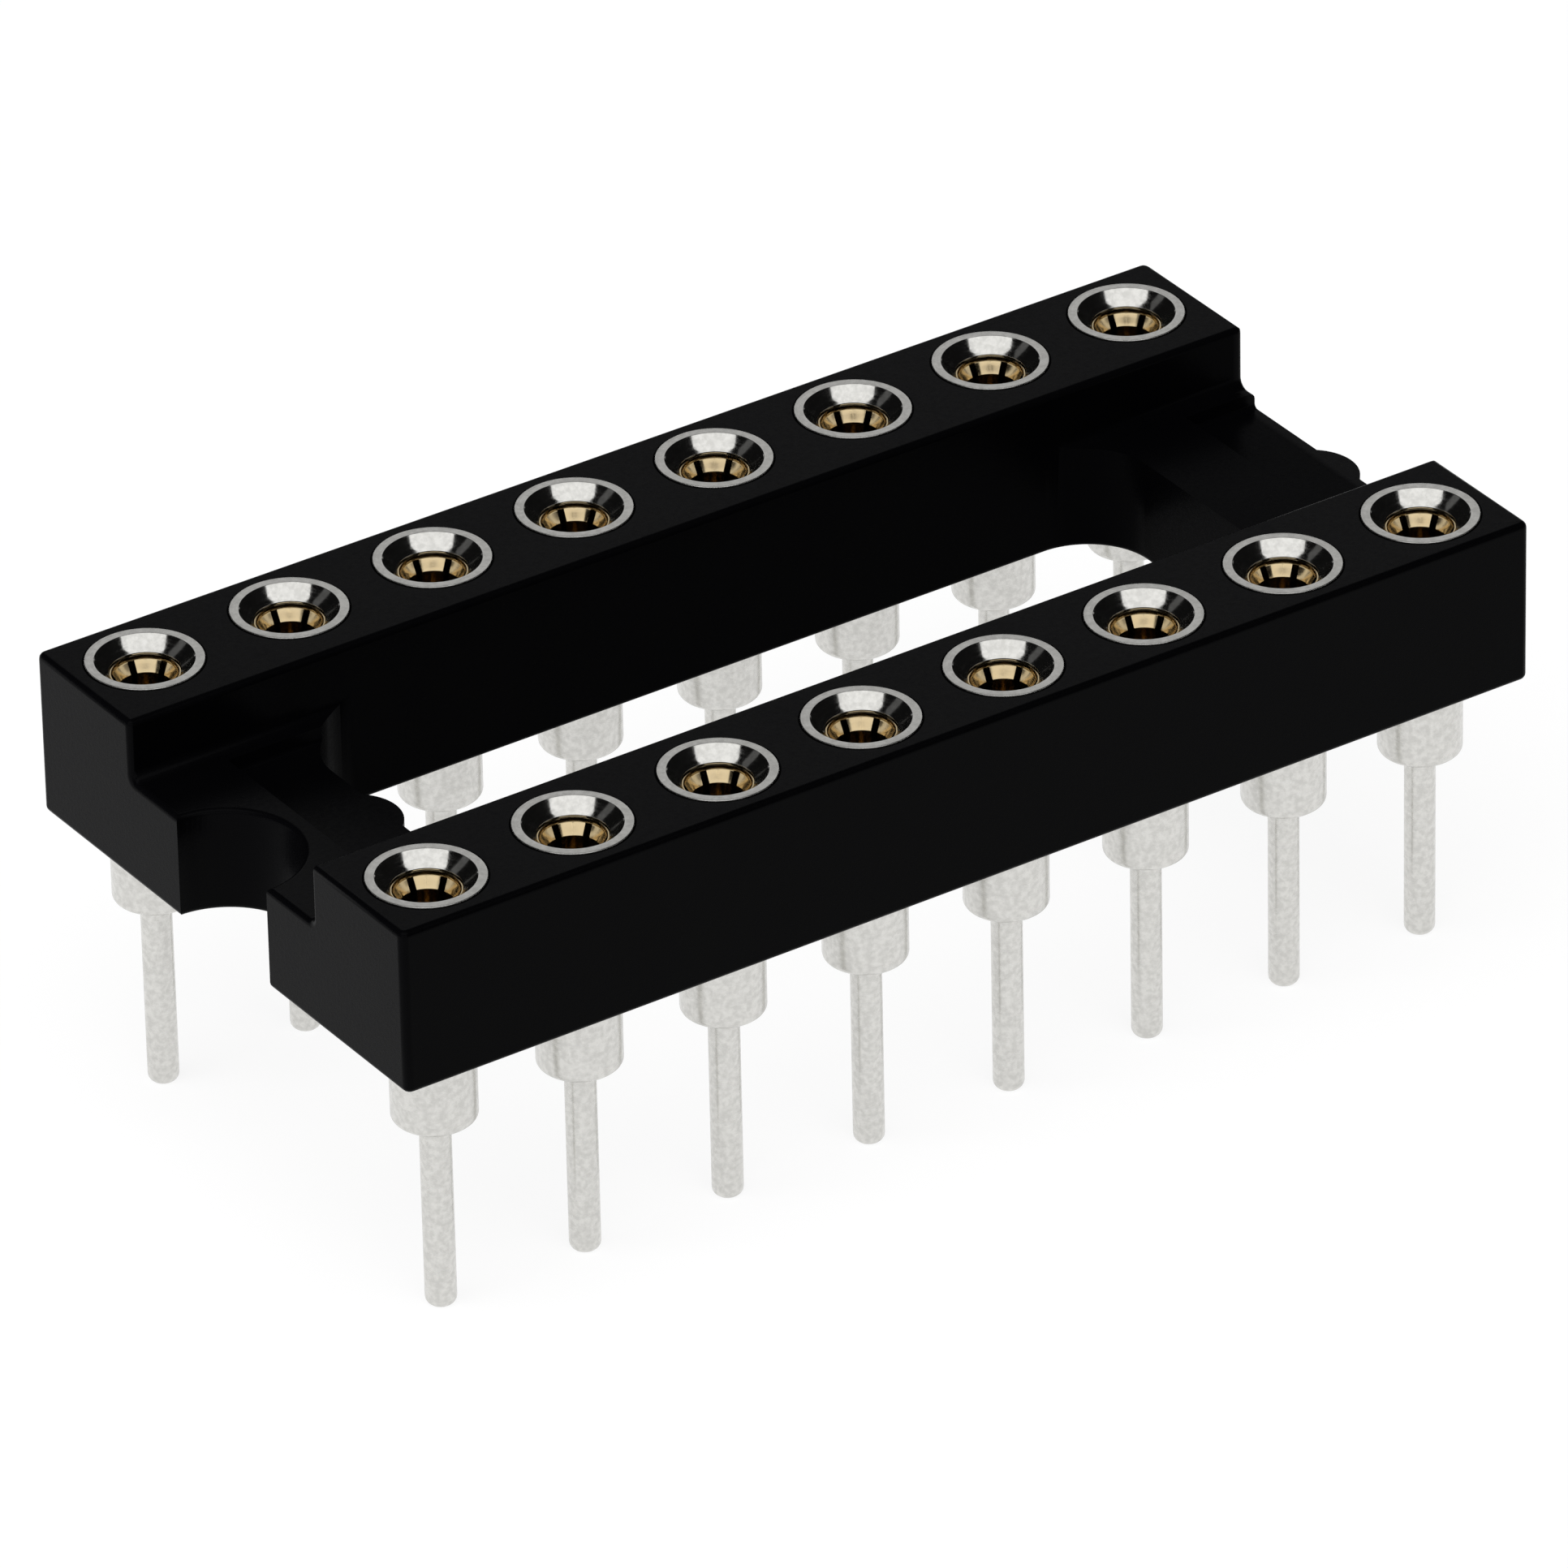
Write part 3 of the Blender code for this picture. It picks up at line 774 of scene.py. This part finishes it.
# %% Gold material
GOLD_GRAIN = 0.14
gold, tree, out = new_material("gold_plated_spring_alloy")
place = add(tree, "ShaderNodeTexCoord")
drawn = add(tree, "ShaderNodeTexNoise", {
    "Vector": place.outputs["Object"], "Scale": 1 / (GOLD_GRAIN * MM), "Detail": 2.0,
})
shade = add(tree, "ShaderNodeMix", {
    0: drawn.outputs["Fac"], 6: linear("#cfb98f"), 7: linear("#d8c5a0"),
}, data_type="RGBA")
spread = add(tree, "ShaderNodeMapRange", {
    "Value": drawn.outputs["Fac"], "From Min": 0.3, "From Max": 0.7, "To Min": 0.11, "To Max": 0.18,
})
metal = add(tree, "ShaderNodeBsdfPrincipled", {
    "Base Color": shade.outputs[2], "Metallic": 1.0, "Roughness": spread.outputs["Result"],
})
tree.links.new(metal.outputs["BSDF"], out.inputs["Surface"])
for clip in clips:
    clip.data.materials.append(gold)
print("pieces with gold:", len(clips), "and with tin:", len(sleeves))

# %% [markdown]
# ## White paper under the socket
# The photograph has a plain white ground. The floor is a grey sheet in itself, so that it keeps the
# object's soft shadow, and a share of plain white is added to it for the camera's own rays and for
# mirrored or transmitted ones. That makes it white in the picture without any more light on the object.

# %% Floor
FLOOR_SIZE = 2.0
PAPER_GLOW = 0.88
corners = np.array([[-1, -1, 0], [1, -1, 0], [1, 1, 0], [-1, 1, 0]]) * FLOOR_SIZE / 2
floor_mesh = bpy.data.meshes.new("paper_floor")
floor_mesh.from_pydata(corners.tolist(), [], [[0, 1, 2, 3]])
floor = new_piece("paper_floor", floor_mesh)
paper, tree, out = new_material("white_paper")
rays = add(tree, "ShaderNodeLightPath")
seen = add(tree, "ShaderNodeMath", {
    0: rays.outputs["Is Camera Ray"], 1: rays.outputs["Is Glossy Ray"],
}, operation="MAXIMUM")
seen = add(tree, "ShaderNodeMath", {
    0: seen.outputs[0], 1: rays.outputs["Is Transmission Ray"],
}, operation="MAXIMUM")
sheet = add(tree, "ShaderNodeBsdfDiffuse", {"Color": linear("#6e6e6e")})
glow_level = add(tree, "ShaderNodeMath", {0: seen.outputs[0], 1: PAPER_GLOW}, operation="MULTIPLY")
glow = add(tree, "ShaderNodeEmission", {"Color": linear("#ffffff"), "Strength": glow_level.outputs[0]})
both = add(tree, "ShaderNodeAddShader", {0: sheet.outputs["BSDF"], 1: glow.outputs["Emission"]})
tree.links.new(both.outputs["Shader"], out.inputs["Surface"])
floor_mesh.materials.append(paper)
print("floor, m:", FLOOR_SIZE)

# %% [markdown]
# ## A dark room with a white ground
# Bright metal shows the room that it stands in. The photograph's funnels are nearly black beside their
# highlights, so the room round this object is dark too, and only the lamps stand out in the metal. The
# camera sees white behind the object, and a reflection that skims the floor sees the white ground go on
# to the horizon.

# %% World
HORIZON = 0.03
ROOM_LEVEL = 0.006
world = bpy.data.worlds.new("studio")
bpy.context.scene.world = world
world.use_nodes = True
tree = world.node_tree
tree.nodes.clear()
rays = add(tree, "ShaderNodeLightPath")
mirrored = add(tree, "ShaderNodeMath", {
    0: rays.outputs["Is Glossy Ray"], 1: rays.outputs["Is Transmission Ray"],
}, operation="MAXIMUM")
direction = add(tree, "ShaderNodeSeparateXYZ", {0: add(tree, "ShaderNodeTexCoord").outputs["Generated"]})
low = add(tree, "ShaderNodeMath", {0: direction.outputs["Z"], 1: HORIZON}, operation="LESS_THAN")
share = add(tree, "ShaderNodeMath", {0: mirrored.outputs[0], 1: low.outputs[0]}, operation="MULTIPLY")
share = add(tree, "ShaderNodeMath", {
    0: share.outputs[0], 1: rays.outputs["Is Camera Ray"],
}, operation="MAXIMUM")
room = add(tree, "ShaderNodeBackground", {"Color": linear("#ffffff"), "Strength": ROOM_LEVEL})
ground = add(tree, "ShaderNodeBackground", {"Color": linear("#ffffff"), "Strength": 1.0})
chosen = add(tree, "ShaderNodeMixShader", {0: share.outputs[0], 1: room.outputs[0], 2: ground.outputs[0]})
add(tree, "ShaderNodeOutputWorld", {"Surface": chosen.outputs[0]})
print("world nodes:", len(tree.nodes))

# %% [markdown]
# ## Softboxes, cards and fills
# A mirror-like face shows one thing in the room, so each highlight of the photograph tells where a lamp
# stood. The funnels' far sides mirror a high softbox, and the fingers below them mirror a low one, in
# three parts because its middle is dimmer where the camera stands before it. The rims lie flat and mirror
# a dim card behind the object. Three small cards give the rims and funnels something to show from the
# other sides and from above. Two fills light what is dull, the frame and the paper. They are hidden from
# reflections, because the metal in the photograph shows no trace of them.

# %% Lamps
def softbox(name, towards, distance, width, height, radiance):
    """A rectangular lamp in the direction towards, as seen from the object, which it faces.

    Its power is pi times its area times the radiance that its face should have.
    """
    lamp = bpy.data.lights.new(name, "AREA")
    lamp.shape, lamp.size, lamp.size_y = "RECTANGLE", width, height
    lamp.energy = math.pi * width * height * radiance
    back = np.array(towards, float)
    back /= np.linalg.norm(back)
    side = np.cross([0, 0, 1], back)
    side /= np.linalg.norm(side)
    turn = Matrix(np.column_stack([side, np.cross(back, side), back]).tolist()).to_4x4()
    holder = new_piece(name, lamp)
    holder.matrix_world = Matrix.Translation(back * distance + [0, 0, RIM_Z * MM]) @ turn
    return holder


softbox("softbox_high", (-0.253, -0.380, 0.889), 0.35, 0.53, 0.214, 1.14)
softbox("softbox_low_left", (-0.2850, -0.2026, 0.1254), 0.3715, 0.235, 0.165, 1.14)
softbox("softbox_low_right", (-0.0770, -0.3412, 0.1254), 0.3715, 0.235, 0.165, 1.14)
softbox("softbox_low_middle", (-0.1810, -0.2719, 0.1254), 0.35, 0.034, 0.165, 0.55)
softbox("card_rear", (0.475, 0.714, 0.514), 0.35, 0.24, 0.19, 0.56)
softbox("card_right", (0.67, -0.67, 0.32), 0.35, 0.14, 0.12, 0.25)
softbox("card_top", (0.06, 0.09, 0.99), 0.40, 0.12, 0.12, 0.35)
softbox("card_left", (-0.62, 0.58, 0.53), 0.35, 0.08, 0.20, 0.10)
for fill in (
    softbox("fill_above", (-0.2, -0.2, 0.96), 0.50, 0.60, 0.60, 1.6),
    softbox("fill_left", (-0.96, 0.25, 0.12), 0.30, 0.24, 0.06, 18.0),
):
    fill.visible_glossy = False
print("lamps:", len(bpy.data.lights))

# %% [markdown]
# ## The camera
# The place, turn and lens were solved from the sixteen mouths, whose true places in the part are known.
# It is a long lens about a quarter of a metre away, level to within a degree or so.

# %% Camera
CAMERA_PLACE = np.array([-0.111796, -0.168137, 0.124939])
AZIMUTH, ELEVATION, ROLL = math.radians(-33.591), math.radians(30.945), math.radians(-1.244)
SENSOR_WIDTH, FOCAL_LENGTH = 36.0, 360.55
back = np.array([
    math.sin(AZIMUTH) * math.cos(ELEVATION), -math.cos(AZIMUTH) * math.cos(ELEVATION), math.sin(ELEVATION),
])
level = np.array([math.cos(AZIMUTH), math.sin(AZIMUTH), 0.0])
upright = np.cross(back, level)
right = level * math.cos(ROLL) + upright * math.sin(ROLL)
up = -level * math.sin(ROLL) + upright * math.cos(ROLL)
lens = bpy.data.cameras.new("camera")
lens.sensor_width, lens.lens = SENSOR_WIDTH, FOCAL_LENGTH
lens.clip_start, lens.clip_end = 0.01, 10.0
camera = new_piece("camera", lens)
turn = Matrix(np.column_stack([right, up, back]).tolist()).to_4x4()
camera.matrix_world = Matrix.Translation(CAMERA_PLACE) @ turn
bpy.context.scene.camera = camera
bpy.context.scene.view_settings.view_transform = "Standard"
print("camera to object, m:", round(float(np.linalg.norm(CAMERA_PLACE)), 3))
